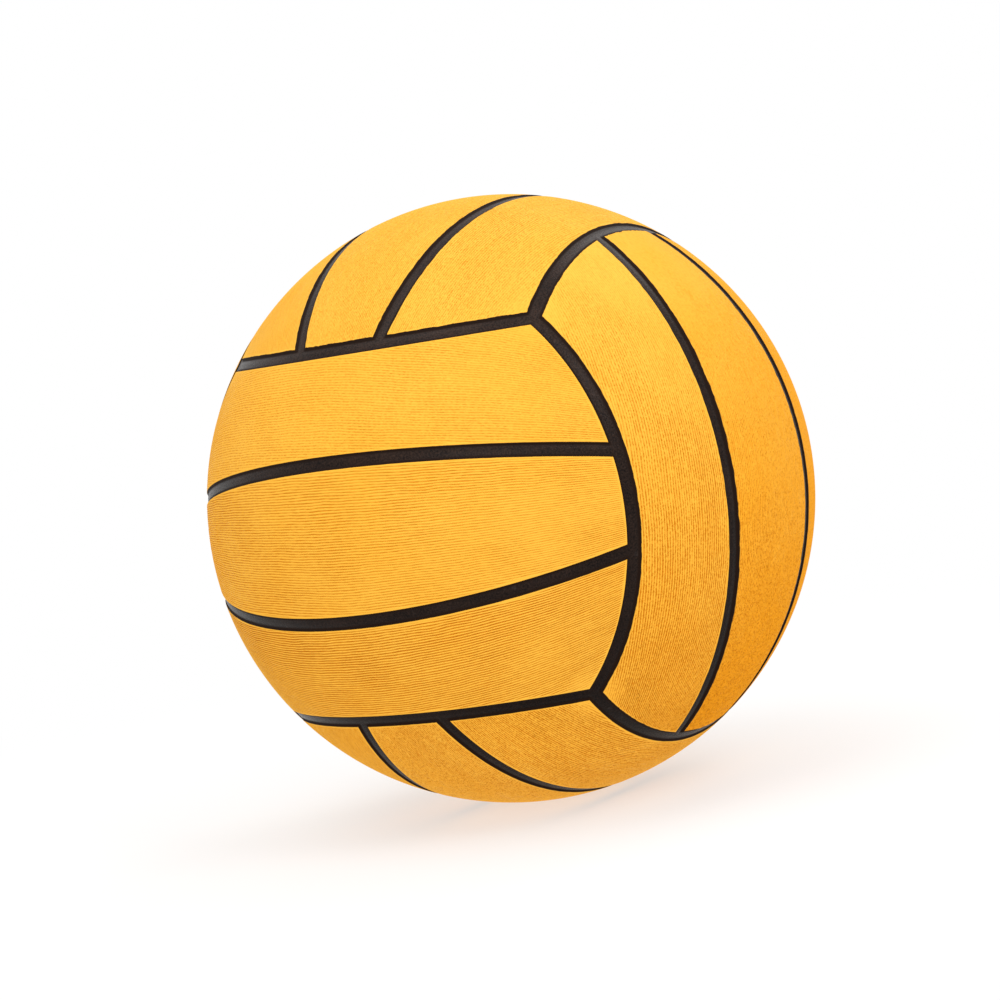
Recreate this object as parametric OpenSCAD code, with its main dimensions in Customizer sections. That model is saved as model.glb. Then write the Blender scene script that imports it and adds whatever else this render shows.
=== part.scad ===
// A rubber water polo ball. Eighteen yellow cover panels, three on each of six faces, lie
// edge to edge with black seam strips on a rubber carcass. Each strip is a shallow channel.
// Under the carcass come a layer of wound nylon thread and the bladder, whose valve reaches
// the surface on the back face.
// +Z is up, -Y is the front face, +X is the right face, and the origin is the ball's centre.

/* [Ball] */
// Diameter of the inflated ball over its panels
ball_d = 210; // [190:1:230]

/* [Layers] */
// Thickness of the cover panels
cover_t = 2; // [1.4:0.1:3]
// Thickness of the rubber carcass under the cover
carcass_t = 1.8; // [1:0.1:3]
// Thickness of the wound thread layer
winding_t = 0.8; // [0.4:0.1:1.5]
// Wall of the bladder
bladder_t = 1.1; // [0.6:0.1:2]

/* [Seams] */
// Width of the strips between two faces
edge_w = 4.8; // [3:0.1:7]
// Width of the strips that divide a face into three panels
divider_w = 4.5; // [3:0.1:7]
// Depth below the panels of the channel along each strip
seam_recess = 0.6; // [0.35:0.05:1.2]
// Width of the strip's raised side on each side of its channel
seam_side = 0.45; // [0.3:0.05:0.9]
// Bevel round the rim of each panel. The strips' raised sides stand up to where it begins.
rim_bevel = 0.2; // [0.1:0.05:0.3]
// Tilt of a divider's plane towards the middle line of its face, in degrees
divider_tilt = 13.5; // [11:0.5:16]
// Distance of a divider's plane from the centre of the ball
divider_offset = 1.2; // [0:0.1:4]

/* [Valve] */
// Diameter of the valve boot, seen as a disc in its panel
boot_d = 12; // [11:0.5:16]
// Depth of the valve's face below the panel
valve_recess = 0.4; // [0.2:0.1:0.8]
// Length of the boot from its face to its inner end
boot_l = 20; // [18:0.5:30]
// Diameter of the boot's flange inside the bladder
flange_d = 28; // [20:1:36]
// Thickness of the flange
flange_t = 1.2; // [0.8:0.1:2]
// Diameter of the core's head
head_d = 7.2; // [6.5:0.1:8]
// Thickness of the core's head
head_t = 2.2; // [1.6:0.1:3]
// Diameter of the core's neck
neck_d = 5; // [4:0.1:6]
// Length of the core from its face to the start of its bulb
neck_end = 11; // [10:0.5:14]
// Diameter of the bulb that holds the core in the boot
bulb_d = 6.8; // [6.4:0.1:7.6]
// Length of the bulb
bulb_l = 4; // [3:0.5:6]
// Diameter of the core's tip
tip_d = 3.4; // [3:0.1:4]
// Length of the taper from the bulb to the end of the tip
tip_l = 3.5; // [2:0.5:5]
// Diameter of the hole that guides the inflating needle
needle_d = 2; // [1.6:0.1:2.4]
// Depth of the needle's hole below the core's face
needle_depth = 10; // [8:0.5:13]
// Diameter of the countersunk mouth of the needle's hole
mouth_d = 3.6; // [3:0.1:4.5]

/* [Hidden] */
$fn = 120;

// Outer radius of each layer
ball_r = ball_d / 2;
carcass_r = ball_r - cover_t;
winding_r = carcass_r - carcass_t;
bladder_r = winding_r - winding_t;
inside_r = bladder_r - bladder_t;
strip_r = ball_r - rim_bevel;
channel_r = ball_r - seam_recess;
valve_r = ball_r - valve_recess;

// How far a cutting shape runs past what it cuts
overrun = 1;

// The twelve face edges lie on six circles. Each circle stands this angle from its own axis,
// so that three of them cross at every corner of a cube.
edge_angle = acos(1 / sqrt(3));
edge_half = edge_w / 2 / ball_r * 180 / PI;
divider_high = divider_offset + divider_w / 2;
divider_low = divider_offset - divider_w / 2;
channel_half = (edge_w / 2 - seam_side) / ball_r * 180 / PI;

// Faces in the order in which a third of a turn about a corner carries the front face to the
// right and the top, and then their opposites. Each has three rows, two dividers and two ends.
FACES = ["front", "right", "top", "back", "left", "bottom"];
ROWS = [["upper", "middle", "lower"], ["front", "middle", "back"], ["right", "middle", "left"]];
ENDS = [
    ["right", "left"], ["top", "bottom"], ["front", "back"],
    ["left", "right"], ["bottom", "top"], ["back", "front"]
];
MIDDLE = 1;
face_numbers = [0 : len(FACES) - 1];
row_numbers = [0 : 2];
side_numbers = [0 : 1];
valve_face = 3;

function panel_name(face, row) = str(FACES[face], "_", ROWS[face % 3][row], "_panel");
function divider_name(face, side) = str(FACES[face], "_", ROWS[face % 3][2 * side], "_divider");
function edge_name(face, side) = str(FACES[face], "_", ENDS[face][side], "_edge");

// Carries a piece of the front face to its place on the face with this number
module on_face(face) {
    opposite = [[0, 0, 1], [0, 1, 0], [1, 0, 0]][face % 3];
    rotate(face < 3 ? 0 : 180, opposite)
        rotate(120 * (face % 3), [1, -1, 1])
            children();
}

module toward_front() {
    rotate([90, 0, 0])
        children();
}

module toward_valve() {
    rotate([-90, 0, 0])
        children();
}

module at_divider() {
    rotate([-divider_tilt, 0, 0])
        children();
}

module to_side(side, way) {
    if (side == 0)
        children();
    else
        mirror(way)
            children();
}

// A round wall between two radii of the ball
module layer(outer_r, inner_r) {
    difference() {
        sphere(r = outer_r);
        sphere(r = inner_r);
    }
}

// A cone from the ball's centre about +Z. At the depth of the bevel its side turns outwards,
// or inwards where the flare is -1, and so cuts the bevel on a panel's rim.
module seam_cone(angle, flare) {
    reach = rim_bevel + overrun;
    start = (ball_r - rim_bevel) * [sin(angle), cos(angle)];
    lip = start + reach * [sin(angle) + flare * cos(angle), cos(angle) - flare * sin(angle)];
    rotate_extrude()
        polygon([[0, 0], start, lip, [lip.x, lip.y + ball_r], [0, lip.y + ball_r]]);
}

// All that lies above a level. Its rim turns down at the depth of the bevel on a panel's rim.
module divider_side(level) {
    reach = rim_bevel + overrun;
    wall_r = sqrt(pow(ball_r - rim_bevel, 2) - pow(level, 2));
    lip_r = wall_r + reach;
    top = level + ball_r + reach;
    rotate_extrude()
        polygon([[0, level], [wall_r, level], [lip_r, level - reach], [lip_r, top], [0, top]]);
}

// The part of the cover that lies between the two ends of the front face
module face_blank() {
    intersection() {
        layer(ball_r, carcass_r);
        toward_front()
            seam_cone(edge_angle - edge_half, -1);
    }
}

module outer_panel() {
    difference() {
        face_blank();
        at_divider()
            mirror([0, 0, 1])
                divider_side(-divider_high);
        seam_cone(edge_angle + edge_half, 1);
    }
}

module middle_panel() {
    difference() {
        face_blank();
        for (side = side_numbers)
            to_side(side, [0, 0, 1])
                at_divider()
                    divider_side(divider_low);
    }
}

// A plain cone from the ball's centre about the middle of the front face
module front_cone(angle) {
    toward_front()
        cylinder(r1 = 0, r2 = ball_r * tan(angle), h = ball_r);
}

// A disc as thick as a divider's channel is wide. Only its rim, outside the channel's floor,
// is used.
module channel_disc() {
    translate([0, 0, divider_low + seam_side])
        cylinder(r = ball_r + overrun, h = divider_w - 2 * seam_side);
}

// A strip across the front face, which ends on the flanks of the two edge strips
module divider_strip() {
    intersection() {
        at_divider()
            difference() {
                intersection() {
                    layer(strip_r, carcass_r);
                    translate([0, 0, divider_low])
                        cylinder(r = ball_r + overrun, h = divider_w);
                }
                difference() {
                    channel_disc();
                    sphere(r = channel_r);
                }
            }
        front_cone(edge_angle - edge_half);
    }
}

// What opens a divider's channel into the channels of the edge strips
module divider_channel() {
    difference() {
        at_divider()
            channel_disc();
        sphere(r = channel_r);
    }
}

// The third of the space round a corner of the front face that holds one strip's end
module corner_third() {
    span = ball_r + overrun;
    rotate([0, edge_angle, -45])
        rotate([0, 0, 30])
            linear_extrude(height = span)
                polygon([[0, 0], [span, -span * tan(60)], [span, span * tan(60)]]);
}

// A ring between two cones that stand this angle to each side of the circle at the end of the
// front face, as far out as the strips need
module end_ring(half_angle) {
    near = carcass_r - overrun;
    far = ball_r + 2 * overrun;
    low = [sin(edge_angle - half_angle), cos(edge_angle - half_angle)];
    high = [sin(edge_angle + half_angle), cos(edge_angle + half_angle)];
    toward_front()
        rotate_extrude()
            polygon([near * low, far * low, far * high, near * high]);
}

// A strip at the end of the front face, mitred at both corners against its neighbours. The
// channels of both dividers open into its own.
module edge_strip() {
    difference() {
        intersection() {
            layer(strip_r, carcass_r);
            end_ring(edge_half);
            corner_third();
            mirror([0, 0, 1])
                corner_third();
        }
        intersection() {
            layer(ball_r + overrun, channel_r);
            end_ring(channel_half);
        }
        for (side = side_numbers)
            intersection() {
                front_cone(edge_angle);
                to_side(side, [0, 0, 1])
                    divider_channel();
            }
    }
}

// The boot's hole through the bladder, the winding, the carcass and one panel
module boot_hole() {
    toward_valve()
        cylinder(d = boot_d, h = ball_r + overrun);
}

// The bevel round the boot in its panel
module boot_hole_bevel() {
    wall_y = sqrt(pow(ball_r, 2) - pow(boot_d / 2, 2)) - rim_bevel;
    reach = rim_bevel + overrun;
    toward_valve()
        translate([0, 0, wall_y])
            cylinder(d1 = boot_d, d2 = boot_d + 2 * reach, h = reach);
}

// The outline that the core fills and the boot is hollowed by, but for the tip
module core_body() {
    head_y = valve_r - head_t;
    bulb_y = valve_r - neck_end;
    translate([0, 0, head_y])
        cylinder(d = head_d, h = head_t + overrun);
    translate([0, 0, bulb_y])
        cylinder(d = neck_d, h = neck_end - head_t);
    translate([0, 0, bulb_y - bulb_l])
        cylinder(d = bulb_d, h = bulb_l);
}

module cover_panel(face, row) {
    color("#F6B32C")
        difference() {
            on_face(face)
                if (row == MIDDLE)
                    middle_panel();
                else
                    to_side(row / 2, [0, 0, 1])
                        outer_panel();
            if (face == valve_face && row == MIDDLE) {
                boot_hole();
                boot_hole_bevel();
            }
        }
}

module face_divider(face, side) {
    color("#2B2727")
        on_face(face)
            to_side(side, [0, 0, 1])
                divider_strip();
}

module face_edge(face, side) {
    color("#2B2727")
        on_face(face)
            to_side(side, [1, 0, 0])
                edge_strip();
}

module carcass() {
    color("#3A3634")
        difference() {
            layer(carcass_r, winding_r);
            boot_hole();
        }
}

module winding() {
    color("#E4DFD2")
        difference() {
            layer(winding_r, bladder_r);
            boot_hole();
        }
}

module bladder() {
    color("#1E1D1E")
        difference() {
            layer(bladder_r, inside_r);
            boot_hole();
        }
}

module valve_boot() {
    color("#2B2727")
        toward_valve()
            difference() {
                union() {
                    intersection() {
                        sphere(r = valve_r);
                        translate([0, 0, valve_r - boot_l])
                            cylinder(d = boot_d, h = boot_l);
                    }
                    intersection() {
                        layer(inside_r, inside_r - flange_t);
                        cylinder(d = flange_d, h = ball_r);
                    }
                }
                core_body();
                cylinder(d = bulb_d, h = valve_r - neck_end);
            }
}

module valve_core() {
    mouth_depth = (mouth_d - needle_d) / 2;
    tip_y = valve_r - neck_end - bulb_l;
    color("#4A4442")
        toward_valve()
            difference() {
                union() {
                    intersection() {
                        sphere(r = valve_r);
                        core_body();
                    }
                    translate([0, 0, tip_y - tip_l])
                        cylinder(d1 = tip_d, d2 = bulb_d, h = tip_l);
                }
                translate([0, 0, valve_r - needle_depth])
                    cylinder(d = needle_d, h = needle_depth + overrun);
                translate([0, 0, valve_r - mouth_depth])
                    cylinder(d1 = needle_d, d2 = mouth_d + 2 * overrun, h = mouth_depth + overrun);
            }
}

for (face = face_numbers)
    for (row = row_numbers)
        cover_panel(face, row);
for (face = face_numbers)
    for (side = side_numbers)
        face_divider(face, side);
for (face = face_numbers)
    for (side = side_numbers)
        face_edge(face, side);
carcass();
winding();
bladder();
valve_boot();
valve_core();
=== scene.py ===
import math

import bmesh
import bpy
import numpy as np
from mathutils import Matrix, Vector


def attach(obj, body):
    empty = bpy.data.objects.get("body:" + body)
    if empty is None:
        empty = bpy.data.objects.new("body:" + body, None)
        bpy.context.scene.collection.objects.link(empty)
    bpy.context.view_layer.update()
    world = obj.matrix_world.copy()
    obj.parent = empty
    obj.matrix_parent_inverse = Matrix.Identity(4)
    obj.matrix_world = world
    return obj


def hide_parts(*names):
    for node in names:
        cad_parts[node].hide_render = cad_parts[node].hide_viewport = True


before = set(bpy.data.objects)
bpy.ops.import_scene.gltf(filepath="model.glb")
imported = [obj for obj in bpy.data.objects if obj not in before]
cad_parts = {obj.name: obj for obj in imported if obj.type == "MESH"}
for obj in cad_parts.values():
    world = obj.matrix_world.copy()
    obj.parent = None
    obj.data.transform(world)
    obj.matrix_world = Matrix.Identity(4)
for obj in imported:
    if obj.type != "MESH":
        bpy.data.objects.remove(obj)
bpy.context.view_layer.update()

bpy.ops.object.select_all(action="DESELECT")

# Camera
# The photograph looks at the front face from the right, a little from above, with the ball
# turned in the picture. The ball fills six tenths of the frame's width.
MM = 0.001
azimuth, elevation, roll = math.radians(34.23), math.radians(3.6), math.radians(9.25)
distance = 975.5 * MM
back = Vector((math.sin(azimuth) * math.cos(elevation),
               -math.cos(azimuth) * math.cos(elevation), math.sin(elevation)))
level = Vector((math.cos(azimuth), math.sin(azimuth), 0))
upright = back.cross(level)
right = math.cos(roll) * level - math.sin(roll) * upright
up = math.sin(roll) * level + math.cos(roll) * upright
bpy.ops.object.camera_add()
camera = bpy.context.object
camera.name = "camera"
camera.matrix_world = Matrix.Translation(back * distance) @ Matrix(
    (right, up, back)).transposed().to_4x4()
camera.data.lens = 101.2
camera.data.sensor_width = 36
camera.data.shift_x = -0.0111
camera.data.shift_y = -0.0017
camera.data.clip_start = 0.05
camera.data.clip_end = 60
bpy.context.scene.camera = camera


# Stage
# A white floor that also glows as light on the ball from below, which is painted light, and an
# even white surround. The floor goes over to pure white away from the ball, so that only the
# soft shadow round the ball is seen.
BALL_R = 105 * MM
# How much of the floor glows as seen near the ball, and, as painted light on the ball from below,
# how much of it glows and how much stronger.
NEAR_GLOW, BELOW_GLOW, BELOW_EXTRA = 0.55, 0.85, 0.16


def place(tree, kind, **values):
    """Puts a node in a material's tree, with values for its settings or its inputs."""
    node = tree.nodes.new(kind)
    for name, value in values.items():
        if hasattr(node, name) and name not in node.inputs:
            setattr(node, name, value)
        else:
            node.inputs[name].default_value = value
    return node


def join(tree, output, target):
    tree.links.new(output, target)


def new_material(name):
    """A material, its node tree and the surface node in it."""
    material = bpy.data.materials.new(name)
    material.use_nodes = True
    tree = material.node_tree
    tree.nodes.clear()
    surface = tree.nodes.new("ShaderNodeBsdfPrincipled")
    out = tree.nodes.new("ShaderNodeOutputMaterial")
    join(tree, surface.outputs["BSDF"], out.inputs["Surface"])
    return material, tree, surface


bpy.ops.mesh.primitive_plane_add(size=40, location=(0, 0, -BALL_R))
floor = bpy.context.object
floor.name = "floor"
paper, tree, surface = new_material("white_paper")
surface.inputs["Base Color"].default_value = (0.92, 0.92, 0.92, 1)
surface.inputs["Roughness"].default_value = 0.9
surface.inputs["Specular IOR Level"].default_value = 0.1
spot = place(tree, "ShaderNodeTexCoord")
from_middle = place(tree, "ShaderNodeVectorMath", operation="LENGTH")
away = place(tree, "ShaderNodeMapRange", interpolation_type="SMOOTHSTEP")
away.inputs["From Min"].default_value = 0.06
away.inputs["From Max"].default_value = 0.5
away.inputs["To Min"].default_value = NEAR_GLOW
path = place(tree, "ShaderNodeLightPath")
seen = place(tree, "ShaderNodeMath", operation="MAXIMUM")
share = place(tree, "ShaderNodeMath", operation="MULTIPLY")
# The floor's painted light on the ball from below: more of it glows for diffuse light, and
# stronger.
from_below = place(tree, "ShaderNodeMath", operation="MULTIPLY")
from_below.inputs[1].default_value = BELOW_GLOW
either = place(tree, "ShaderNodeMath", operation="MAXIMUM")
stronger = place(tree, "ShaderNodeMath", operation="MULTIPLY_ADD")
stronger.inputs[1].default_value = BELOW_EXTRA
stronger.inputs[2].default_value = 1
glow = place(tree, "ShaderNodeEmission")
mix = place(tree, "ShaderNodeMixShader")
join(tree, spot.outputs["Object"], from_middle.inputs[0])
join(tree, from_middle.outputs["Value"], away.inputs["Value"])
join(tree, path.outputs["Is Camera Ray"], seen.inputs[0])
join(tree, path.outputs["Is Glossy Ray"], seen.inputs[1])
join(tree, seen.outputs[0], share.inputs[0])
join(tree, away.outputs["Result"], share.inputs[1])
join(tree, path.outputs["Is Diffuse Ray"], from_below.inputs[0])
join(tree, path.outputs["Is Diffuse Ray"], stronger.inputs[0])
join(tree, stronger.outputs[0], glow.inputs["Strength"])
join(tree, share.outputs[0], either.inputs[0])
join(tree, from_below.outputs[0], either.inputs[1])
join(tree, either.outputs[0], mix.inputs["Fac"])
join(tree, surface.outputs["BSDF"], mix.inputs[1])
join(tree, glow.outputs["Emission"], mix.inputs[2])
out = next(n for n in tree.nodes if n.bl_idname == "ShaderNodeOutputMaterial")
join(tree, mix.outputs["Shader"], out.inputs["Surface"])
floor.data.materials.append(paper)

world = bpy.data.worlds.new("studio")
bpy.context.scene.world = world
world.use_nodes = True
tree = world.node_tree
tree.nodes.clear()
path = place(tree, "ShaderNodeLightPath")
seen = place(tree, "ShaderNodeMath", operation="MAXIMUM")
strength = place(tree, "ShaderNodeMapRange")
strength.inputs["To Min"].default_value = 0.84
strength.inputs["To Max"].default_value = 1.0
sky = place(tree, "ShaderNodeBackground", Color=(1, 1, 1, 1))
out = place(tree, "ShaderNodeOutputWorld")
join(tree, path.outputs["Is Camera Ray"], seen.inputs[0])
join(tree, path.outputs["Is Transmission Ray"], seen.inputs[1])
join(tree, seen.outputs[0], strength.inputs["Value"])
join(tree, strength.outputs["Result"], sky.inputs["Strength"])
join(tree, sky.outputs["Background"], out.inputs["Surface"])


def softbox(name, place_at, size, watts):
    """A square lamp that faces the ball."""
    bpy.ops.object.light_add(type="AREA", location=place_at)
    lamp = bpy.context.object
    lamp.name = name
    lamp.data.shape = "SQUARE"
    lamp.data.size = size
    lamp.data.energy = watts
    lamp.rotation_euler = (-Vector(place_at)).to_track_quat("-Z", "Y").to_euler()


softbox("top_light", (-0.2, -0.7, 1.8), size=1.3, watts=9)
softbox("front_light", (0.9, -1.8, 0.5), size=1.0, watts=9.6)
softbox("right_light", (1.5, -0.4, 1.3), size=0.8, watts=9)
softbox("back_light", (0.3, 1.5, 1.5), size=0.9, watts=6)
bpy.context.scene.view_settings.view_transform = "Standard"


# Cover panels
# Eighteen pads of yellow rubber, 2 mm thick, moulded with fine wavy grip ridges that run along
# each pad. Their rims are rolled over into the seams, and the ridges stop short of the rims.
CARCASS_R = 103 * MM
EDGE_ANGLE = math.acos(1 / math.sqrt(3))
EDGE_W = 4.8 * MM
EDGE_HALF = EDGE_W / 2 / BALL_R
DIVIDER_W = 4.5 * MM
DIVIDER_TILT = math.radians(13.5)
DIVIDER_OFFSET = 1.2 * MM
BOOT_R = 6 * MM
RIM_DROP = 0.12 * MM
RIM_ROLL = 0.3 * MM
SINK = 0.02 * MM
SKIN = 0.05 * MM
PITCH = 0.88 * MM
GRIP = 0.22 * MM
GROOVE_IN, GROOVE_W = 1.55 * MM, 0.22 * MM
LEMON = (0.92, 0.495, 0.060, 1)
ORANGE = (0.89, 0.355, 0.011, 1)
# AMBER is the painted shade in the furrows, dimples and pebbles, and the colour of the specks.
AMBER = (0.58, 0.18, 0.001, 1)
FLASH_BLACK = (0.014, 0.0065, 0.004, 1)


def on_pad(row_share, along_share, outer, radius):
    """Points on a pad of the front face: row_share runs across it and along_share along it."""
    end_y = math.cos(EDGE_ANGLE - EDGE_HALF) * radius
    if outer:
        tilt = DIVIDER_TILT * (1 - row_share)
        height = (DIVIDER_OFFSET + DIVIDER_W / 2) * (1 - row_share)
        height = height + math.cos(EDGE_ANGLE + EDGE_HALF) * radius * row_share
    else:
        tilt = DIVIDER_TILT * row_share
        height = (DIVIDER_OFFSET - DIVIDER_W / 2) * row_share
    ring = np.sqrt(radius ** 2 - height ** 2)
    end = np.arccos((end_y + height * np.sin(tilt)) / (ring * np.cos(tilt)))
    turn = end * along_share
    return np.stack([ring * np.sin(turn),
                     height * np.sin(tilt) - ring * np.cos(turn) * np.cos(tilt),
                     height * np.cos(tilt) + ring * np.cos(turn) * np.sin(tilt)], axis=1)


# The pads' meshes, in mm: how far in from a rim the first steps lie, and the steps after them.
RIM_STEPS = (0, 0.08, 0.18, 0.32, 0.5, 0.8, 1.2, 1.7, 2.3)
ROW_STEP, COLUMN_STEP, HOLE_STEP = 0.2, 1.25, 0.36
COARSE_ROWS, COARSE_COLUMNS = 15, 45


def stations(half_length, step, extra=()):
    """Shares from -1 to 1, by lengths in mm: close together at the rims and where extra asks."""
    ends = [inwards for inwards in RIM_STEPS if inwards < 0.5 + 2 * step]
    middle = np.arange(ends[-1] + step, half_length, step)
    half = [1 - inwards / half_length for inwards in (*ends, *middle)]
    return np.array(sorted({*half, *(-share for share in half),
                            *(place_at / half_length for place_at in extra)}))


def add_sheet(rows, columns, outer, radius):
    """A grid laid on the ball as one side of a pad. It joins the mesh that is being edited."""
    before = len(bpy.context.object.data.vertices)
    bpy.ops.mesh.primitive_grid_add(
        x_subdivisions=len(columns) - 1, y_subdivisions=len(rows) - 1, size=2)
    bpy.ops.object.mode_set(mode="OBJECT")
    mesh = bpy.context.object.data
    flat = np.empty(len(mesh.vertices) * 3)
    mesh.vertices.foreach_get("co", flat)
    flat = flat.reshape(-1, 3)
    new = flat[before:]
    column = np.rint((new[:, 0] + 1) / 2 * (len(columns) - 1)).astype(int)
    row = np.rint((new[:, 1] + 1) / 2 * (len(rows) - 1)).astype(int)
    flat[before:] = on_pad(rows[row], columns[column], outer, radius)
    mesh.vertices.foreach_set("co", flat.ravel())
    bpy.ops.object.mode_set(mode="EDIT")


def pad_blank(name, outer, half_width, half_length, extra=()):
    """A smooth closed pad in its place on the front face, before its grip is pressed in."""
    mesh = bpy.data.meshes.new(name)
    pad = bpy.data.objects.new(name, mesh)
    bpy.context.collection.objects.link(pad)
    bpy.context.view_layer.objects.active = pad
    bpy.ops.object.mode_set(mode="EDIT")
    rows, coarse_rows = stations(half_width, ROW_STEP), np.linspace(-1, 1, COARSE_ROWS)
    if outer:
        rows, coarse_rows = rows / 2 + 0.5, coarse_rows / 2 + 0.5
    add_sheet(rows, stations(half_length, COLUMN_STEP, extra), outer, BALL_R)
    bpy.ops.mesh.hide(unselected=False)
    add_sheet(coarse_rows, np.linspace(-1, 1, COARSE_COLUMNS), outer, CARCASS_R)
    bpy.ops.mesh.reveal(select=False)
    bpy.ops.mesh.select_mode(type="EDGE")
    bpy.ops.mesh.select_all(action="DESELECT")
    bpy.ops.mesh.select_non_manifold()
    bpy.ops.mesh.bridge_edge_loops()
    bpy.ops.mesh.select_all(action="SELECT")
    bpy.ops.mesh.normals_make_consistent(inside=False)
    bpy.ops.object.mode_set(mode="OBJECT")
    bpy.ops.object.select_all(action="DESELECT")
    return pad


outer_blank = pad_blank("outer_blank", outer=True, half_width=21, half_length=95)
middle_blank = pad_blank("middle_blank", outer=False, half_width=24, half_length=100)
valve_blank = pad_blank("valve_blank", outer=False, half_width=24, half_length=100,
                        extra=np.arange(-9, 9.1, HOLE_STEP))

# The valve's hole goes through one middle pad.
bpy.ops.mesh.primitive_cylinder_add(
    vertices=128, radius=BOOT_R, depth=20 * MM, location=(0, -BALL_R, 0),
    rotation=(math.pi / 2, 0, 0))
punch = bpy.context.object
hole = valve_blank.modifiers.new("valve_hole", "BOOLEAN")
hole.object = punch
hole.operation = "DIFFERENCE"
bpy.ops.object.select_all(action="DESELECT")
bpy.context.view_layer.objects.active = valve_blank
bpy.ops.object.modifier_apply(modifier=hole.name)
bpy.data.objects.remove(punch)


def step_up(share):
    """Goes smoothly from 0 to 1 as share does."""
    share = np.clip(share, 0, 1)
    return share * share * (3 - 2 * share)


def wander(along, across, seed):
    """Smooth random values from -1 to 1 over a grid of unit squares."""
    side = 256
    grid = np.random.default_rng(seed).uniform(-1, 1, (side, side))
    column, row = np.floor(along).astype(int), np.floor(across).astype(int)
    right_share, far_share = step_up(along - column), step_up(across - row)
    near_left, near_right = grid[column % side, row % side], grid[(column + 1) % side, row % side]
    far_left = grid[column % side, (row + 1) % side]
    far_right = grid[(column + 1) % side, (row + 1) % side]
    near = near_left * (1 - right_share) + near_right * right_share
    far = far_left * (1 - right_share) + far_right * right_share
    return near * (1 - far_share) + far * far_share


def rim_distance(p, outer, valve):
    """How far each point of a pad on the front face lies from the pad's rim."""
    radius = np.linalg.norm(p, axis=1)
    ends = BALL_R * (EDGE_ANGLE - EDGE_HALF - np.arccos(np.clip(-p[:, 1] / radius, -1, 1)))
    over = p[:, 1] * math.sin(DIVIDER_TILT) + np.abs(p[:, 2]) * math.cos(DIVIDER_TILT)
    if outer:
        over = p[:, 1] * math.sin(DIVIDER_TILT) + p[:, 2] * math.cos(DIVIDER_TILT)
        sides = np.minimum(over - DIVIDER_OFFSET - DIVIDER_W / 2,
                           BALL_R * (np.arccos(p[:, 2] / radius) - EDGE_ANGLE - EDGE_HALF))
    else:
        sides = DIVIDER_OFFSET - DIVIDER_W / 2 - over
    if valve:
        sides = np.minimum(sides, np.hypot(p[:, 0], p[:, 2]) - BOOT_R)
    return np.minimum(ends, sides)


# How the ridges wander: how much, over what length and width in mm, and by which random draw.
# Fan share says how far they follow the pad as it narrows, instead of running level.
WANDERS = ((0.55, 31, 23, 0), (0.16, 7, 4, 1), (0.09, 3, 1.5, 8))
FAN_SHARE = 0.6
# The rest of the grip, also in mm: where it fades in from a rim and from a corner, how long its
# dashes are at the shortest and how much longer, how far along a pad its change reaches, and how
# wide the rim's lip and the flash's soft edge are.
RIM_MARGIN, RIM_MARGIN_SWAY, RIM_FADE = 0.3, 0.25, 0.6
CORNER_MARGIN, CORNER_FADE = 4, 9
SHORT_DASH, MORE_DASH = 1.1, 7
CHANGE_REACH = 75
LIP, FLASH_BLUR = 0.8, 0.1


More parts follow.
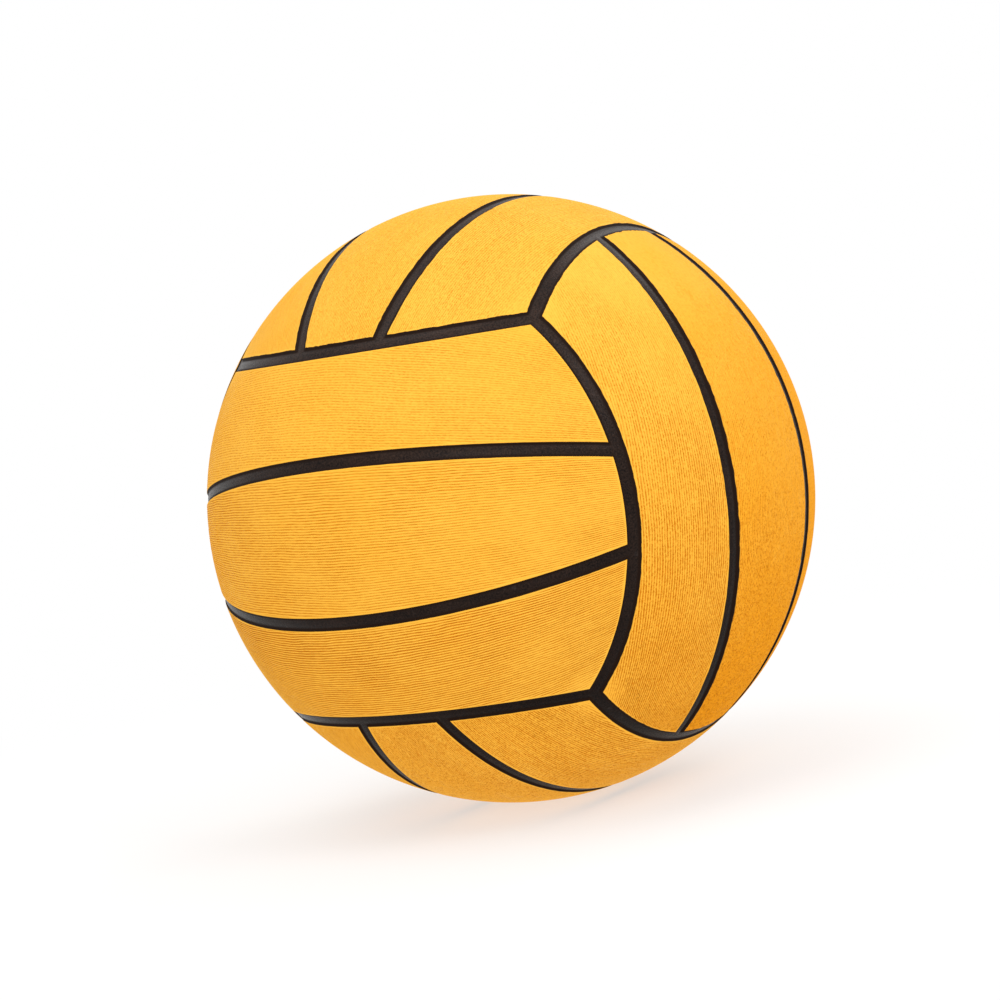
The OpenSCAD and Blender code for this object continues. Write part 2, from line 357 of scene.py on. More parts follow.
def press_grip(pad, outer, valve, seed, lean, dashes, tone_and_shade, depth=1, change=0, flash=0.06):
    """Rolls a pad's rim and presses its ridges. Lean turns them, dashes breaks them up, depth
    scales them, and with change the pad gets coarser, and browner towards one end as painted
    shade. The tone sets how orange the pad is and is partly painted shade. Flash is the width of
    the black rubber that came over the rim in the mould. Lengths along and across the pad are in
    mm. What the finish needs is kept in the mesh."""
    mesh = pad.data
    flat = np.empty(len(mesh.vertices) * 3)
    mesh.vertices.foreach_get("co", flat)
    p = flat.reshape(-1, 3)
    radius = np.linalg.norm(p, axis=1)
    on_top = radius > BALL_R - SKIN
    rim = rim_distance(p, outer, valve)

    # Places along the pad and across its ridges, which draw together towards the ends.
    along = BALL_R * np.arctan2(p[:, 0], np.hypot(p[:, 1], p[:, 2])) / MM
    fan = BALL_R * np.arctan2(p[:, 2], -p[:, 1])
    across = ((1 - FAN_SHARE) * p[:, 2] + FAN_SHARE * fan + lean * p[:, 0]) / MM
    for sway, length, width, draw in WANDERS:
        across = across + sway * wander(along / length, across / width, seed + draw)
    turns = across * MM / PITCH

    # Furrows between the ridges, in dashes that are drawn for each furrow.
    furrow = (0.5 - 0.5 * np.cos(2 * math.pi * turns)) ** 1.5
    dash = SHORT_DASH + MORE_DASH * (1 - dashes)
    strength = 0.58 + (0.3 + 0.35 * dashes) * wander(along / dash, np.floor(turns), seed + 2)
    patches = wander(along / 14, across / 9, seed + 3)
    up_pad = along / CHANGE_REACH
    strength = strength + 0.2 * patches - change * up_pad

    # The grip fades out towards the rims and the corners.
    from_corner = BALL_R / MM * np.arccos(np.clip(
        (np.abs(p[:, 0]) - p[:, 1] + np.abs(p[:, 2])) / math.sqrt(3) / radius, -1, 1))
    margin = RIM_MARGIN + RIM_MARGIN_SWAY * wander(along / 9, across / 9, seed + 4)
    grip = step_up((rim / MM - margin) / RIM_FADE)
    grip = grip * (0.4 + 0.6 * step_up((from_corner - CORNER_MARGIN) / CORNER_FADE))
    furrow = furrow * depth * np.clip(strength, 0.04, 1.1) * grip
    grip = grip * depth * np.clip(1 + 0.15 * patches - 1.2 * change * up_pad, 0.15, 1.8)

    # A faint groove follows the rim here and there.
    groove = np.exp(-((rim - GROOVE_IN) / GROOVE_W) ** 2)
    groove = groove * np.clip(0.35 + 0.9 * wander(along / 17, across / 6, seed + 5), 0, 1)
    pits = np.maximum(furrow, 0.25 * groove)

    # All this is pressed into the outside, with the roll of the rim.
    inside = np.clip(rim / RIM_ROLL, 0, 1)
    drop = SINK + RIM_DROP * (1 - np.sqrt(1 - (1 - inside) ** 2)) + GRIP * pits
    drop[~on_top] = 0
    pits[~on_top] = 0
    p *= ((radius - drop) / radius)[:, None]
    mesh.vertices.foreach_set("co", p.ravel())

    # What the finish draws by: the rim's lip, the black flash over it and the ridges' lines.
    lip = np.where(on_top, 1 - step_up(rim / MM / LIP), 1)
    flash = flash * (1 + 0.5 * wander(along / 3, across / 3, seed + 6)
                     + 0.4 * wander(along, across, seed + 7))
    kept = {"pits": pits, "lip": lip, "grip": np.where(on_top, grip, 0),
            "flash": np.clip((flash - rim / MM) / FLASH_BLUR + 0.5, 0, 1),
            "tone_and_shade": tone_and_shade - 0.5 * change * up_pad, "dashes": np.full(len(p), dashes)}
    for name, values in kept.items():
        mesh.attributes.new(name, "FLOAT", "POINT").data.foreach_set("value", values)
    lines = np.stack([along, turns, np.full(len(p), seed)], axis=1)
    mesh.attributes.new("lines", "FLOAT_VECTOR", "POINT").data.foreach_set(
        "vector", lines.ravel())


FACES = ("front", "right", "top", "back", "left", "bottom")
ROWS = (("upper", "middle", "lower"), ("front", "middle", "back"), ("right", "middle", "left"))


def face_place(face):
    """Turns a piece of the front face to its place on the face with this number."""
    opposite = (Vector((0, 0, 1)), Vector((0, 1, 0)), Vector((1, 0, 0)))[face % 3]
    return (Matrix.Rotation(math.pi * (face // 3), 4, opposite)
            @ Matrix.Rotation(math.radians(120) * (face % 3), 4, Vector((1, -1, 1))))


def copy_of(source, name):
    """A piece with its own mesh, from a blank."""
    piece = bpy.data.objects.new(name, source.data.copy())
    piece.data.name = name
    bpy.context.collection.objects.link(piece)
    return piece


def settle(piece, face, flipped, way):
    """Puts a piece in its place on the ball, mirrored first where its place is a mirrored one."""
    if flipped:
        piece.data.transform(Matrix.Scale(-1, 4, way))
        piece.data.flip_normals()
    piece.data.transform(face_place(face))
    piece.data.update()


def grain_group():
    """The fine tooth and the slow mottling that moulded rubber has."""
    group = bpy.data.node_groups.new("moulded_rubber", "ShaderNodeTree")
    for name, kind in (("Grain Size", "NodeSocketFloat"), ("Mottle Size", "NodeSocketFloat")):
        group.interface.new_socket(name, in_out="INPUT", socket_type=kind)
    for name in ("Grain", "Mottle", "Dust"):
        group.interface.new_socket(name, in_out="OUTPUT", socket_type="NodeSocketFloat")
    given = place(group, "NodeGroupInput")
    out = place(group, "NodeGroupOutput")
    spot = place(group, "ShaderNodeTexCoord")
    grain = place(group, "ShaderNodeTexNoise", Detail=3.0, Roughness=0.6)
    mottle = place(group, "ShaderNodeTexNoise", Detail=4.0, Roughness=0.5)
    dust = place(group, "ShaderNodeTexNoise", Detail=5.0, Roughness=0.7, Scale=260.0)
    specks = place(group, "ShaderNodeMapRange")
    specks.inputs["From Min"].default_value = 0.62
    specks.inputs["From Max"].default_value = 0.78
    for noise, size in ((grain, "Grain Size"), (mottle, "Mottle Size")):
        join(group, spot.outputs["Object"], noise.inputs["Vector"])
        join(group, given.outputs[size], noise.inputs["Scale"])
    join(group, spot.outputs["Object"], dust.inputs["Vector"])
    join(group, dust.outputs["Fac"], specks.inputs["Value"])
    join(group, grain.outputs["Fac"], out.inputs["Grain"])
    join(group, mottle.outputs["Fac"], out.inputs["Mottle"])
    join(group, specks.outputs["Result"], out.inputs["Dust"])
    return group


moulded = grain_group()


def add_grain(tree, grain_size, mottle_size):
    """The rubber's grain in a material. The higher a size, the finer what it sets."""
    node = place(tree, "ShaderNodeGroup")
    node.node_tree = moulded
    node.inputs["Grain Size"].default_value = grain_size
    node.inputs["Mottle Size"].default_value = mottle_size
    return node


def blend_colour(tree, share, low, high):
    """A colour that goes from low to high as share goes from 0 to 1."""
    node = place(tree, "ShaderNodeMix", data_type="RGBA")
    for side, colour in ((6, low), (7, high)):
        if isinstance(colour, tuple):
            node.inputs[side].default_value = colour
        else:
            join(tree, colour, node.inputs[side])
    join(tree, share, node.inputs[0])
    return node.outputs[2]


def rescale(tree, value, low, high, to_low, to_high):
    """Turns the range from low to high into the one from to_low to to_high, held at its ends."""
    node = place(tree, "ShaderNodeMapRange")
    for name, number in (("From Min", low), ("From Max", high), ("To Min", to_low),
                         ("To Max", to_high)):
        node.inputs[name].default_value = number
    join(tree, value, node.inputs["Value"])
    return node.outputs["Result"]


def raise_bumps(tree, surface, height, depth, strength):
    """Bumps of this depth where height is 1."""
    bump = place(tree, "ShaderNodeBump", Strength=strength, Distance=depth)
    join(tree, height, bump.inputs["Height"])
    join(tree, bump.outputs["Normal"], surface.inputs["Normal"])


def carried(tree, name):
    """A value kept in the mesh under this name."""
    return place(tree, "ShaderNodeAttribute", attribute_name=name).outputs["Fac"]


def combine(tree, operation, first, second):
    """A Math node on two values, each a socket or a number."""
    node = place(tree, "ShaderNodeMath", operation=operation)
    for target, value in zip(node.inputs, (first, second)):
        if isinstance(value, (int, float)):
            target.default_value = value
        else:
            join(tree, value, target)
    return node.outputs[0]


# The pads' finish draws the furrows once more, as bumps and as painted shade, finer than the mesh
# holds them, on the lines that each pad carries: pebbled edges, gaps along them and small dimples.
cover_rubber, tree, surface = new_material("cover_rubber")
rubber = add_grain(tree, grain_size=1250.0, mottle_size=38.0)
lines = place(tree, "ShaderNodeAttribute", attribute_name="lines")
parts = place(tree, "ShaderNodeSeparateXYZ")
join(tree, lines.outputs["Vector"], parts.inputs[0])
spot = place(tree, "ShaderNodeTexCoord")
pebbles = place(tree, "ShaderNodeTexNoise", Scale=1000.0, Detail=1.0)
join(tree, spot.outputs["Object"], pebbles.inputs["Vector"])
broken = carried(tree, "dashes")
pebbled = combine(tree, "MULTIPLY", broken,
                  rescale(tree, pebbles.outputs["Fac"], 0.3, 0.7, -0.17, 0.17))
wavy = combine(tree, "ADD", parts.outputs["Y"], pebbled)
wave = combine(tree, "COSINE", combine(tree, "MULTIPLY", wavy, 2 * math.pi), 0)
furrows = combine(tree, "POWER", rescale(tree, wave, 1, -1, 0, 1), 2.2)
dash_place = place(tree, "ShaderNodeCombineXYZ")
join(tree, combine(tree, "MULTIPLY", parts.outputs["X"],
                   rescale(tree, broken, 0, 1, 0.15, 1.9)), dash_place.inputs[0])
join(tree, combine(tree, "MULTIPLY", combine(tree, "FLOOR", parts.outputs["Y"], 0), 3.7),
     dash_place.inputs[1])
join(tree, parts.outputs["Z"], dash_place.inputs[2])
breaks = place(tree, "ShaderNodeTexNoise", Scale=1.0, Detail=1.0)
join(tree, dash_place.outputs[0], breaks.inputs["Vector"])
gaps = combine(tree, "MULTIPLY", rescale(tree, breaks.outputs["Fac"], 0.36, 0.6, 1, 0),
               rescale(tree, broken, 0, 1, 0.3, 1))
dashed = combine(tree, "MULTIPLY", furrows, combine(tree, "SUBTRACT", 1, gaps))
dimples = rescale(tree, rubber.outputs["Grain"], 0.47, 0.34, 0, 1)
dimples = combine(tree, "MULTIPLY", dimples, rescale(tree, broken, 0, 1, 0.15, 0.6))
dashed = combine(tree, "MAXIMUM", dashed, dimples)
dashed = combine(tree, "MULTIPLY", dashed, carried(tree, "grip"))

# Yellow rubber with painted shade: browner in the furrows, dimples and pebbles and in the rim's
# groove, and more orange towards the rolled rims. It has specks and the black flash.
shade = combine(tree, "MAXIMUM", combine(tree, "MULTIPLY", carried(tree, "pits"), 0.7), dashed)
shade = combine(tree, "ADD", shade, combine(tree, "MULTIPLY", pebbled, 0.8))
# The pad's tone, partly painted shade, with the rubber's mottling.
toned_and_shaded = combine(tree, "ADD", carried(tree, "tone_and_shade"),
                rescale(tree, rubber.outputs["Mottle"], 0.3, 0.7, -0.08, 0.08))
batch_and_shade = blend_colour(tree, toned_and_shaded, LEMON, ORANGE)
# More orange towards the rolled rims: painted shade.
wear_and_rim_shade = blend_colour(tree, rescale(tree, carried(tree, "lip"), 0, 1, 0, 0.15), batch_and_shade, ORANGE)
pit_shaded = blend_colour(tree, rescale(tree, shade, 0, 1, 0, 0.95), wear_and_rim_shade, AMBER)
speckled = blend_colour(tree, rescale(tree, rubber.outputs["Dust"], 0, 1, 0, 0.16), pit_shaded,
                        AMBER)
join(tree, blend_colour(tree, carried(tree, "flash"), speckled, FLASH_BLACK),
     surface.inputs["Base Color"])
join(tree, rescale(tree, rubber.outputs["Mottle"], 0.3, 0.7, 0.62, 0.74),
     surface.inputs["Roughness"])
surface.inputs["Specular IOR Level"].default_value = 0.06
raise_bumps(tree, surface, combine(tree, "MULTIPLY", dashed, -1), depth=0.12 * MM,
            strength=0.8)

# What the photograph shows of each pad. Their tones are partly painted shade: more orange on the
# right and the bottom, which lie in shade, and more yellow on the lit top and front, and change
# makes some browner towards one end. The pads that it doesn't show draw theirs at random.
SEEN_PADS = {
    "front_upper": {"lean": 0.1, "dashes": 0.4, "tone_and_shade": 0.22, "depth": 0.75},
    "front_middle": {"lean": 0.045, "dashes": 0.1, "tone_and_shade": 0.2, "change": 0.1},
    "front_lower": {"lean": 0.01, "dashes": 0.1, "tone_and_shade": 0.18, "depth": 1.5, "change": 0.1},
    "right_front": {"lean": 0.05, "dashes": 0.55, "tone_and_shade": 0.25, "depth": 1.25, "change": 0.47,
                    "flash": 0.2},
    "right_middle": {"dashes": 0.9, "tone_and_shade": 0.66, "change": 0.6, "flash": 0.42},
    "right_back": {"dashes": 0.9, "tone_and_shade": 0.78, "change": 0.4, "flash": 0.45},
    "top_right": {"dashes": 0.7, "tone_and_shade": 0.08, "depth": 0.8, "flash": 0.25},
    "top_middle": {"dashes": 0.6, "tone_and_shade": 0.1, "depth": 0.8, "flash": 0.3},
    "top_left": {"tone_and_shade": 0.1, "depth": 0.8, "flash": 0.25},
    "bottom_right": {"dashes": 0.6, "tone_and_shade": 0.35, "depth": 1.6},
    "bottom_middle": {"dashes": 0.6, "tone_and_shade": 0.3, "depth": 1.5},
    "bottom_left": {"tone_and_shade": 0.35, "depth": 1.5},
}
chance = np.random.default_rng(18)
for face in range(6):
    for row in range(3):
        name = FACES[face] + "_" + ROWS[face % 3][row]
        outer, valve = row != 1, face == 3 and row == 1
        blank = outer_blank if outer else valve_blank if valve else middle_blank
        pad = copy_of(blank, name + "_pad")
        lean, dashes, tone_and_shade = chance.uniform((-0.07, 0.1, 0.2), (0.07, 0.4, 0.6))
        look = {"lean": lean, "dashes": dashes, "tone_and_shade": tone_and_shade, **SEEN_PADS.get(name, {})}
        press_grip(pad, outer, valve, 100 * face + 10 * row, **look)
        settle(pad, face, row == 2, Vector((0, 0, 1)))
        pad.data.materials.append(cover_rubber)
        pad.data.polygons.foreach_set("use_smooth", [True] * len(pad.data.polygons))
        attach(pad, "root")
        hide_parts(name + "_panel")
for blank in (outer_blank, middle_blank, valve_blank):
    bpy.data.objects.remove(blank)


# Seam strips
# Black rubber strips vulcanised into the gaps between the pads: one along each edge between
# two faces and two across each face. Each is a channel whose sides stand up to the pads' rims.
# Where strips meet, their channels run into each other. Dust specks grey them all over. The
# upper ones are painted lighter and more glossy, a painted sheen, and the lower ones darker, a
# painted shade.
STRIP_R = BALL_R - SINK - RIM_DROP + 0.01 * MM
CHANNEL_DEPTH = 0.45 * MM
CHANNEL_SIDE = 0.6 * MM
CROWN, CROWN_W = 0.14 * MM, 1.8 * MM
WORN_IN, WORN_W = 0.5 * MM, 0.7 * MM
FLOOR_CUTS, SPIN_STEPS = 17, 260
# Heights over which the strips go from painted shade, low on the ball, to painted sheen, high on
# it.
LOW_Z, HIGH_Z = -60 * MM, 80 * MM
BLACK = (0.0130, 0.0052, 0.0024, 1)
PIT_AND_SHADE_BLACK = (0.0030, 0.0012, 0.0008, 1)
WORN_AND_SHEEN_BLACK = (0.040, 0.021, 0.014, 1)
DUST_GREY = (0.07, 0.06, 0.06, 1)


def strip_blank(name, width, centre_angle, axis, middle, turn):
    """A strip's plain section, spun about an axis through the ball's centre. Spin turns
    clockwise, so the section starts half the turn ahead of the strip's middle."""
    bpy.ops.mesh.primitive_plane_add(size=1)
    strip = bpy.context.object
    strip.name = name
    bpy.ops.object.mode_set(mode="EDIT")
    bpy.ops.transform.resize(value=(width, STRIP_R - CARCASS_R, 1), center_override=(0, 0, 0))
    bpy.ops.mesh.select_mode(type="EDGE")
    bpy.ops.mesh.select_all(action="DESELECT")
    shape = bmesh.from_edit_mesh(strip.data)
    for edge in shape.edges:
        edge.select_set(min(end.co.y for end in edge.verts) > 0)
    bmesh.update_edit_mesh(strip.data)
    bpy.ops.mesh.subdivide(number_cuts=FLOOR_CUTS)
    shape = bmesh.from_edit_mesh(strip.data)
    placed = (Matrix.Rotation(middle + turn / 2, 4, axis)
              @ Vector((0, 0, 1)).rotation_difference(axis).to_matrix().to_4x4())
    for point in shape.verts:
        aside = width / 2 * math.sin(math.pi * point.co.x / width)
        angle = centre_angle + aside / STRIP_R
        radius = (STRIP_R + CARCASS_R) / 2 + point.co.y
        point.co = placed @ Vector((radius * math.sin(angle), 0, radius * math.cos(angle)))
    bmesh.update_edit_mesh(strip.data)
    bpy.ops.mesh.select_all(action="SELECT")
    bpy.ops.mesh.spin(steps=SPIN_STEPS, angle=turn, center=(0, 0, 0), axis=axis)
    return strip


def trim(plane_no):
    """Cuts off what lies ahead of a plane through the ball's centre and closes the cut."""
    bpy.ops.mesh.select_all(action="SELECT")
    bpy.ops.mesh.bisect(plane_co=(0, 0, 0), plane_no=plane_no, use_fill=True, clear_outer=True)


def close_up(piece, smooth_angle):
    """Ends a piece: doubled points joined, faces turned outwards, smooth below an angle."""
    bpy.ops.mesh.select_all(action="SELECT")
    bpy.ops.mesh.remove_doubles(threshold=0.000001)
    bpy.ops.mesh.normals_make_consistent(inside=False)
    bpy.ops.object.mode_set(mode="OBJECT")
    bpy.ops.object.select_all(action="DESELECT")
    piece.select_set(True)
    bpy.ops.object.shade_smooth_by_angle(angle=math.radians(smooth_angle))
    bpy.ops.object.select_all(action="DESELECT")


def sink_channel(strip):
    """Presses the channel in, by how far each point lies from the nearest rim of a pad. Its
    floor is crowned a little along the middle."""
    flat = np.empty(len(strip.data.vertices) * 3)
    strip.data.vertices.foreach_get("co", flat)
    p = flat.reshape(-1, 3)
    radius = np.linalg.norm(p, axis=1)
    level = p[:, 1] * math.sin(DIVIDER_TILT) + np.abs(p[:, 2]) * math.cos(DIVIDER_TILT)
    from_end = BALL_R * (np.arccos(-p[:, 1] / radius) - EDGE_ANGLE)
    in_divider = np.where(from_end < 0, DIVIDER_W / 2 - np.abs(level - DIVIDER_OFFSET), 0)
    inside = np.maximum(in_divider, EDGE_W / 2 - np.abs(from_end))
    depth = CHANNEL_DEPTH * step_up((inside - SKIN) / CHANNEL_SIDE)
    depth = depth - CROWN * step_up((inside - CHANNEL_SIDE) / CROWN_W)
    depth[radius < STRIP_R - SKIN] = 0
    p *= ((radius - depth) / radius)[:, None]
    strip.data.vertices.foreach_set("co", p.ravel())
    strip.data.attributes.new("wear_and_rim_shade", "FLOAT", "POINT").data.foreach_set(
        "value", step_up((inside - WORN_IN) / WORN_W))


# The divider across the upper part of the front face lies in a plane past the ball's centre
# and is cut where it meets the two edge strips.
divider_axis = Vector((0, math.sin(DIVIDER_TILT), math.cos(DIVIDER_TILT)))
divider_blank = strip_blank("divider_blank", DIVIDER_W, math.acos(DIVIDER_OFFSET / STRIP_R),
                            divider_axis, middle=-math.pi / 2, turn=math.radians(116))
ring = math.sqrt(1 - (DIVIDER_OFFSET / STRIP_R) ** 2)
past = DIVIDER_OFFSET / STRIP_R
reach = math.acos((math.cos(EDGE_ANGLE - EDGE_HALF) + past * math.sin(DIVIDER_TILT))
                  / (ring * math.cos(DIVIDER_TILT)))
for side in (1, -1):
    tip = Vector((side * ring * math.sin(reach), -math.cos(EDGE_ANGLE - EDGE_HALF),
                  past * math.cos(DIVIDER_TILT) + ring * math.cos(reach) * math.sin(DIVIDER_TILT)))
    trim(Vector((0, 1, 0)) - tip * tip.y)
close_up(divider_blank, smooth_angle=35)
sink_channel(divider_blank)

# The edge strip at the right end of the front face is mitred at both corners, where it meets
# two others. Two planes through each corner cut its point.
edge_blank = strip_blank("edge_blank", EDGE_W, EDGE_ANGLE, Vector((0, -1, 0)), middle=0,
                         turn=math.radians(96))
corner, edge_way = Vector((1, -1, 1)).normalized(), Vector((1, 0, -1)).normalized()
for side in (1, -1):
    for swing in (150, -150):
        facing = Matrix.Rotation(math.radians(swing), 3, corner) @ edge_way
        trim((facing.x, facing.y, side * facing.z))
close_up(edge_blank, smooth_angle=35)
sink_channel(edge_blank)

seam_rubber, tree, surface = new_material("seam_rubber")
rubber = add_grain(tree, grain_size=1900.0, mottle_size=55.0)
grit_and_sheen = combine(tree, "ADD", rescale(tree, rubber.outputs["Grain"], 0.32, 0.68, 0, 0.9),
                 rescale(tree, rubber.outputs["Mottle"], 0.4, 0.7, -0.1, 0.2))
spot = place(tree, "ShaderNodeTexCoord")
parts = place(tree, "ShaderNodeSeparateXYZ")
join(tree, spot.outputs["Object"], parts.inputs[0])
# Darker on the lower strips and lighter on the upper ones: painted shade and painted sheen.
grit_and_sheen = combine(tree, "MULTIPLY", grit_and_sheen,
                 rescale(tree, parts.outputs["Z"], LOW_Z, HIGH_Z, 0.35, 1.2))
scuffs_and_sheen = blend_colour(tree, grit_and_sheen, PIT_AND_SHADE_BLACK, WORN_AND_SHEEN_BLACK)
dusty = blend_colour(tree, rescale(tree, rubber.outputs["Dust"], 0, 1, 0, 0.3), scuffs_and_sheen,
                     DUST_GREY)
join(tree, blend_colour(tree, carried(tree, "wear_and_rim_shade"), BLACK, dusty),
     surface.inputs["Base Color"])
join(tree, rescale(tree, carried(tree, "wear_and_rim_shade"), 0, 1, 0.75, 0.28),
     surface.inputs["Roughness"])
surface.inputs["IOR"].default_value = 1.33
# The upper strips reflect more: a painted sheen.
join(tree, rescale(tree, parts.outputs["Z"], LOW_Z, HIGH_Z, 0.14, 0.27),
     surface.inputs["Specular IOR Level"])
raise_bumps(tree, surface, rubber.outputs["Grain"], depth=0.14 * MM, strength=1.0)

ENDS = (("right", "left"), ("top", "bottom"), ("front", "back"),
        ("left", "right"), ("bottom", "top"), ("back", "front"))
for face in range(6):
    for side in range(2):
        for blank, other, way, kind in (
                (divider_blank, ROWS[face % 3][2 * side], Vector((0, 0, 1)), "divider"),
                (edge_blank, ENDS[face][side], Vector((1, 0, 0)), "edge")):
            strip = copy_of(blank, FACES[face] + "_" + other + "_" + kind + "_strip")
            settle(strip, face, side == 1, way)
            strip.data.materials.append(seam_rubber)
            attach(strip, "root")
            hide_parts(FACES[face] + "_" + other + "_" + kind)
bpy.data.objects.remove(divider_blank)
bpy.data.objects.remove(edge_blank)


# Valve boot
# A black rubber housing moulded to the bladder. Its round face fills the hole in the middle
# pad of the back, and its flange lies against the inside of the bladder.
VALVE_R = 104.6 * MM
BOOT_L = 20 * MM
INSIDE_R = 99.3 * MM
HEAD_R, HEAD_T, NECK_R, NECK_END = 3.6 * MM, 2.2 * MM, 2.5 * MM, 11 * MM
BULB_R, BULB_L = 3.4 * MM, 4 * MM
FLANGE_R, FLANGE_T = 14 * MM, 1.2 * MM
BEAD = 0.3 * MM


def turned_piece(name, outline, segments):
    """A closed outline of (distance from the valve's axis, distance from the ball's centre),
    spun round the valve's axis."""
    mesh = bpy.data.meshes.new(name)
    piece = bpy.data.objects.new(name, mesh)
    bpy.context.collection.objects.link(piece)
    points = [(r, y, 0) for r, y in outline]
    mesh.from_pydata(points, [(i, (i + 1) % len(points)) for i in range(len(points))], [])
    bpy.context.view_layer.objects.active = piece
    bpy.ops.object.mode_set(mode="EDIT")
    bpy.ops.mesh.select_all(action="SELECT")
    bpy.ops.mesh.spin(steps=segments, angle=2 * math.pi, center=(0, 0, 0), axis=(0, 1, 0))
    close_up(piece, smooth_angle=40)
    return piece


def dome(radius, ball):
    """Distance from the ball's centre plane where a sphere stands at this radius."""
    return math.sqrt(ball ** 2 - radius ** 2)


boot_face = [(HEAD_R, dome(HEAD_R, VALVE_R) - BEAD)]
boot_face += [(HEAD_R + BEAD, dome(HEAD_R, VALVE_R)), (HEAD_R + 2 * BEAD, VALVE_R - BEAD / 4)]
boot_face += [(HEAD_R + 3 * BEAD, VALVE_R - BEAD), (BOOT_R - 3 * BEAD, VALVE_R - BEAD)]
boot_face += [(BOOT_R - 2 * BEAD, VALVE_R - 0.7 * BEAD), (BOOT_R - BEAD, VALVE_R - BEAD)]
boot_face += [(BOOT_R - BEAD / 3, VALVE_R - 1.6 * BEAD), (BOOT_R, VALVE_R - 2.6 * BEAD)]
boot_flange = [(BOOT_R, INSIDE_R), (FLANGE_R - BEAD, dome(FLANGE_R, INSIDE_R)),
               (FLANGE_R, dome(FLANGE_R, INSIDE_R) - BEAD),
               (FLANGE_R, dome(FLANGE_R, INSIDE_R - FLANGE_T) + BEAD),
               (FLANGE_R - BEAD, dome(FLANGE_R, INSIDE_R - FLANGE_T)),
               (BOOT_R + BEAD, INSIDE_R - FLANGE_T)]
boot_tail = [(BOOT_R, INSIDE_R - FLANGE_T - BEAD), (BOOT_R, VALVE_R - BOOT_L + BEAD),
             (BOOT_R - BEAD, VALVE_R - BOOT_L), (BULB_R, VALVE_R - BOOT_L)]
boot_bore = [(BULB_R, VALVE_R - NECK_END), (NECK_R, VALVE_R - NECK_END),
             (NECK_R, VALVE_R - HEAD_T), (HEAD_R, VALVE_R - HEAD_T)]
boot = turned_piece("boot", boot_face + boot_flange + boot_tail + boot_bore, segments=72)
boot.data.materials.append(seam_rubber)
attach(boot, "root")
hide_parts("valve_boot")


# Valve core
# A softer grey-black plug pushed into the boot, with a countersunk hole that guides the
# inflating needle to the slit in its bulb.
NEEDLE_R, NEEDLE_DEPTH, MOUTH_R = 1 * MM, 10 * MM, 1.8 * MM
TIP_R, TIP_L = 1.7 * MM, 3.5 * MM
CORE_GREY, WORN_GREY = (0.035, 0.03, 0.029, 1), (0.07, 0.062, 0.06, 1)
core_face = [(0, VALVE_R - NEEDLE_DEPTH), (NEEDLE_R, VALVE_R - NEEDLE_DEPTH),
             (NEEDLE_R, VALVE_R - MOUTH_R + NEEDLE_R), (MOUTH_R - BEAD / 2, VALVE_R - BEAD),
             (MOUTH_R, VALVE_R - BEAD / 3), (MOUTH_R + BEAD / 2, VALVE_R - BEAD / 6),
             (HEAD_R - BEAD, dome(HEAD_R, VALVE_R)), (HEAD_R - BEAD / 4, VALVE_R - BEAD / 2),
             (HEAD_R, VALVE_R - BEAD)]
core_body = [(HEAD_R, VALVE_R - HEAD_T), (NECK_R, VALVE_R - HEAD_T),
             (NECK_R, VALVE_R - NECK_END), (BULB_R, VALVE_R - NECK_END),
             (BULB_R, VALVE_R - NECK_END - BULB_L),
             (TIP_R, VALVE_R - NECK_END - BULB_L - TIP_L),
             (0, VALVE_R - NECK_END - BULB_L - TIP_L)]
core = turned_piece("core", core_face + core_body, segments=64)
core_rubber, tree, surface = new_material("core_rubber")
rubber = add_grain(tree, grain_size=3000.0, mottle_size=160.0)
wear_and_rim_shade = blend_colour(tree, rescale(tree, rubber.outputs["Mottle"], 0.35, 0.7, 0, 1), CORE_GREY,
                    WORN_GREY)
join(tree, wear_and_rim_shade, surface.inputs["Base Color"])
join(tree, rescale(tree, rubber.outputs["Mottle"], 0.3, 0.7, 0.45, 0.6),
     surface.inputs["Roughness"])
surface.inputs["Specular IOR Level"].default_value = 0.3
raise_bumps(tree, surface, rubber.outputs["Grain"], depth=0.05 * MM, strength=0.5)
core.data.materials.append(core_rubber)
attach(core, "root")
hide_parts("valve_core")


# Carcass, winding and bladder
# The layers under the cover, which stay as CAD made them: a brown-black rubber carcass, nylon
# thread wound over and over in great circles and set in latex, and the butyl bladder.
CARCASS_DARK, CARCASS_LIGHT = (0.028, 0.022, 0.019, 1), (0.05, 0.042, 0.037, 1)
BUTYL_DARK, BUTYL_LIGHT = (0.011, 0.011, 0.012, 1), (0.024, 0.023, 0.024, 1)
BETWEEN_THREADS, THREAD = (0.33, 0.27, 0.18, 1), (0.78, 0.75, 0.66, 1)
LATEX = (0.55, 0.42, 0.24, 1)
WOUND_WAYS = ((0.3, 0.5, 0.1), (1.2, -0.4, 0.9), (-0.8, 0.2, 2.0))

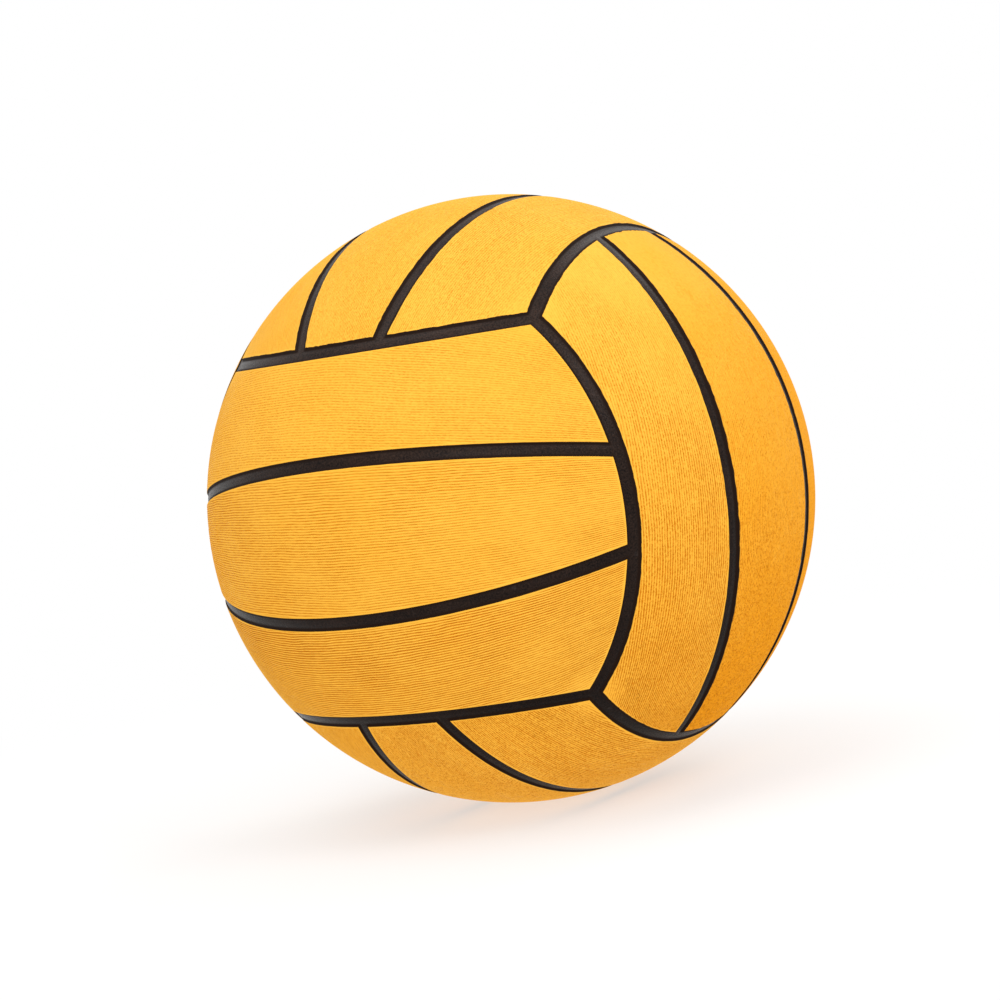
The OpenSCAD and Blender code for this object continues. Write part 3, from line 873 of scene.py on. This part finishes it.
carcass_rubber, tree, surface = new_material("carcass_rubber")
rubber = add_grain(tree, grain_size=1500.0, mottle_size=40.0)
mottled = blend_colour(tree, rescale(tree, rubber.outputs["Mottle"], 0.35, 0.65, 0, 1),
                       CARCASS_DARK, CARCASS_LIGHT)
join(tree, mottled, surface.inputs["Base Color"])
join(tree, rescale(tree, rubber.outputs["Dust"], 0, 1, 0.6, 0.8), surface.inputs["Roughness"])
raise_bumps(tree, surface, rubber.outputs["Grain"], depth=0.1 * MM, strength=0.6)

bladder_rubber, tree, surface = new_material("bladder_rubber")
rubber = add_grain(tree, grain_size=900.0, mottle_size=26.0)
mottled = blend_colour(tree, rescale(tree, rubber.outputs["Mottle"], 0.35, 0.65, 0, 1),
                       BUTYL_DARK, BUTYL_LIGHT)
join(tree, mottled, surface.inputs["Base Color"])
join(tree, rescale(tree, rubber.outputs["Mottle"], 0.3, 0.7, 0.28, 0.42),
     surface.inputs["Roughness"])
raise_bumps(tree, surface, rubber.outputs["Grain"], depth=0.05 * MM, strength=0.3)

nylon, tree, surface = new_material("wound_nylon")
rubber = add_grain(tree, grain_size=2200.0, mottle_size=60.0)
spot = place(tree, "ShaderNodeTexCoord")
threads = None
for turn in WOUND_WAYS:
    turned = place(tree, "ShaderNodeMapping")
    turned.inputs["Rotation"].default_value = turn
    wound = place(tree, "ShaderNodeTexWave", wave_type="BANDS", Scale=520.0, Distortion=1.5)
    wound.inputs["Detail Scale"].default_value = 0.4
    join(tree, spot.outputs["Object"], turned.inputs["Vector"])
    join(tree, turned.outputs["Vector"], wound.inputs["Vector"])
    if threads is None:
        threads = wound.outputs["Fac"]
    else:
        threads = combine(tree, "MAXIMUM", threads, wound.outputs["Fac"])
laid = blend_colour(tree, threads, BETWEEN_THREADS, THREAD)
stained = blend_colour(tree, rescale(tree, rubber.outputs["Mottle"], 0.45, 0.75, 0, 0.5), laid,
                       LATEX)
join(tree, stained, surface.inputs["Base Color"])
surface.inputs["Roughness"].default_value = 0.6
raise_bumps(tree, surface, threads, depth=0.3 * MM, strength=0.8)

for node, finish in (("carcass", carcass_rubber), ("winding", nylon),
                     ("bladder", bladder_rubber)):
    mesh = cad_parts[node].data
    mesh.materials.clear()
    mesh.materials.append(finish)
